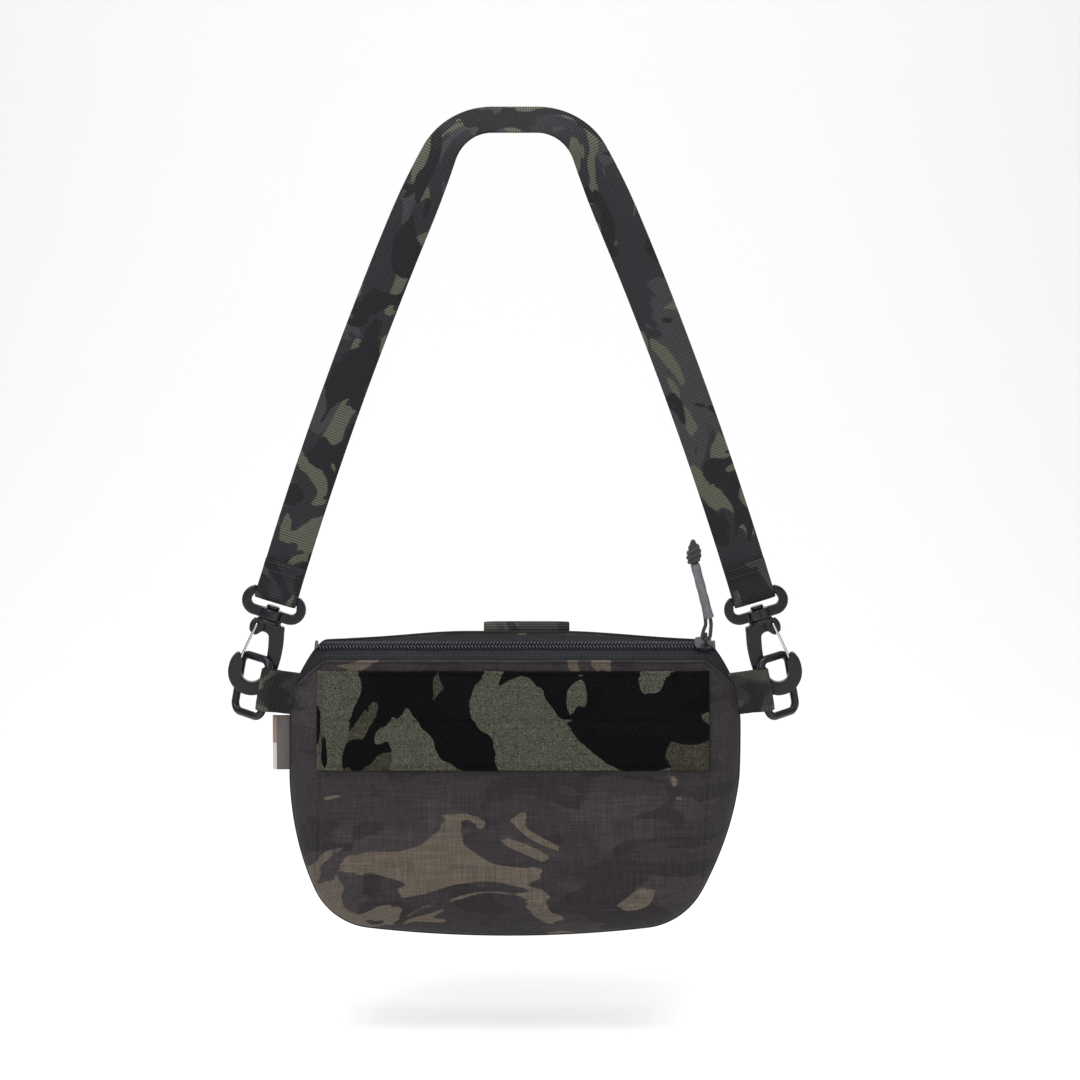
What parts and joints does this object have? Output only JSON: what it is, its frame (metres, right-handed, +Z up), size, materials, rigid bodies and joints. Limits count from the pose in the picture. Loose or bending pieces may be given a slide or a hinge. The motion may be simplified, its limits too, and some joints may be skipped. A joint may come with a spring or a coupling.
{
  "type": "sling bag",
  "caption": "Zipped half-round sling pouch hanging from a webbing shoulder strap by two swivel snap hooks, with a loop-pile panel on its front.",
  "frame": {"origin": "middle of the strap's crown, where the bag hangs", "axes": "+Z up, +X to the right of someone facing the bag, front facing -Y"},
  "size_m": [0.3402, 0.0504, 0.4895],
  "materials": {
    "strap_webbing": "woven ribbed nylon, dark camouflage print",
    "thread": "black sewing thread",
    "bag_fabric": "coated plain-weave nylon, dark brown camouflage print",
    "lining_fabric": "thin coated lining",
    "binding_tape": "folded binding tape",
    "zip_tape": "herringbone woven tape",
    "zip_coil": "moulded nylon coil",
    "zip_metal": "black lacquer, worn at the edges",
    "side_webbing": "woven ribbed nylon, dark olive print",
    "loop_pile": "hook-and-loop pile, black with khaki print",
    "label_ribbon": "satin ribbon, two plain tones",
    "pull_cord": "braided cord",
    "pull_sleeve": "shrunk rubber sleeve, satin",
    "hook_plastic": "moulded acetal, satin",
    "gate_wire": "polished spring wire"
  },
  "bodies": {
    "strap": {"strap": "strap_webbing", "strap_stitching": "thread"},
    "bag": {"front_panel": "bag_fabric", "back_panel": "bag_fabric", "lining": "lining_fabric", "seam_binding": "binding_tape", "zip_tape_front": "zip_tape", "zip_tape_back": "zip_tape", "zip_coil_front": "zip_coil", "zip_coil_back": "zip_coil", "zip_stop_left": "zip_metal", "zip_stop_right": "zip_metal", "side_tab_left": "side_webbing", "side_tab_right": "side_webbing", "loop_panel": "loop_pile", "rear_hanger": "side_webbing", "side_label": "label_ribbon"},
    "slider": {"zip_slider": "zip_metal", "slider_bail": "zip_metal"},
    "pull": {"pull_cord": "pull_cord", "pull_sleeve": "pull_sleeve", "pull_knot": "pull_cord"},
    "eye_left": {"eye_left": "hook_plastic"},
    "hook_left": {"hook_left": "hook_plastic"},
    "gate_left": {"gate_left": "gate_wire"},
    "ring_left": {"ring_left": "hook_plastic"},
    "eye_right": {"eye_right": "hook_plastic"},
    "hook_right": {"hook_right": "hook_plastic"},
    "gate_right": {"gate_right": "gate_wire"},
    "ring_right": {"ring_right": "hook_plastic"}
  },
  "joints": [
    {"name": "bag_swing", "type": "hinge", "parent": "strap", "child": "bag", "pos_m": [0, 0, -0.2783], "axis": [1, 0, 0], "range_deg": [-20, 30]},
    {"name": "eye_swing_left", "type": "hinge", "parent": "strap", "child": "eye_left", "pos_m": [-0.1407, 0, -0.2783], "axis": [0.9563, 0, -0.2924], "range_deg": [-20, 30]},
    {"name": "hook_swivel_left", "type": "hinge", "parent": "eye_left", "child": "hook_left", "pos_m": [-0.1407, 0, -0.2783], "axis": [0.2924, 0, 0.9563], "range_deg": [-2, 30]},
    {"name": "gate_left", "type": "hinge", "parent": "hook_left", "child": "gate_left", "pos_m": [-0.15239, -0.00057, -0.29439], "axis": [0.0833, -0.9962, -0.0255], "range_deg": [0, 4], "stiffness_Nm_per_rad": 0.02, "springref_deg": -8.59},
    {"name": "ring_turn_left", "type": "hinge", "parent": "bag", "child": "ring_left", "pos_m": [-0.147, -0.0086, -0.333], "axis": [-0.1736, 0, -0.9848], "range_deg": [-4, 6]},
    {"name": "eye_swing_right", "type": "hinge", "parent": "strap", "child": "eye_right", "pos_m": [0.1407, 0, -0.2783], "axis": [0.9563, 0, 0.2924], "range_deg": [-20, 30]},
    {"name": "hook_swivel_right", "type": "hinge", "parent": "eye_right", "child": "hook_right", "pos_m": [0.1407, 0, -0.2783], "axis": [0.2924, 0, -0.9563], "range_deg": [-2, 30]},
    {"name": "gate_right", "type": "hinge", "parent": "hook_right", "child": "gate_right", "pos_m": [0.15239, -0.00057, -0.29439], "axis": [0.0833, 0.9962, 0.0255], "range_deg": [0, 4], "stiffness_Nm_per_rad": 0.02, "springref_deg": -8.59},
    {"name": "ring_turn_right", "type": "hinge", "parent": "bag", "child": "ring_right", "pos_m": [0.147, -0.0086, -0.333], "axis": [-0.1736, 0, 0.9848], "range_deg": [-4, 6]},
    {"name": "zip_slide", "type": "slide", "parent": "bag", "child": "slider", "axis": [-1, 0, 0], "range_m": [0, 0.215]},
    {"name": "pull_swing", "type": "hinge", "parent": "slider", "child": "pull", "pos_m": [0.1125, -0.00538, -0.30335], "axis": [1, 0, 0], "range_deg": [-45, 120]}
  ],
  "couplings": [
    {"joint": "eye_swing_left", "follows": "bag_swing", "ratio": 1},
    {"joint": "ring_turn_left", "follows": "bag_swing", "ratio": 0.2},
    {"joint": "eye_swing_right", "follows": "bag_swing", "ratio": 1},
    {"joint": "ring_turn_right", "follows": "bag_swing", "ratio": 0.2}
  ]
}
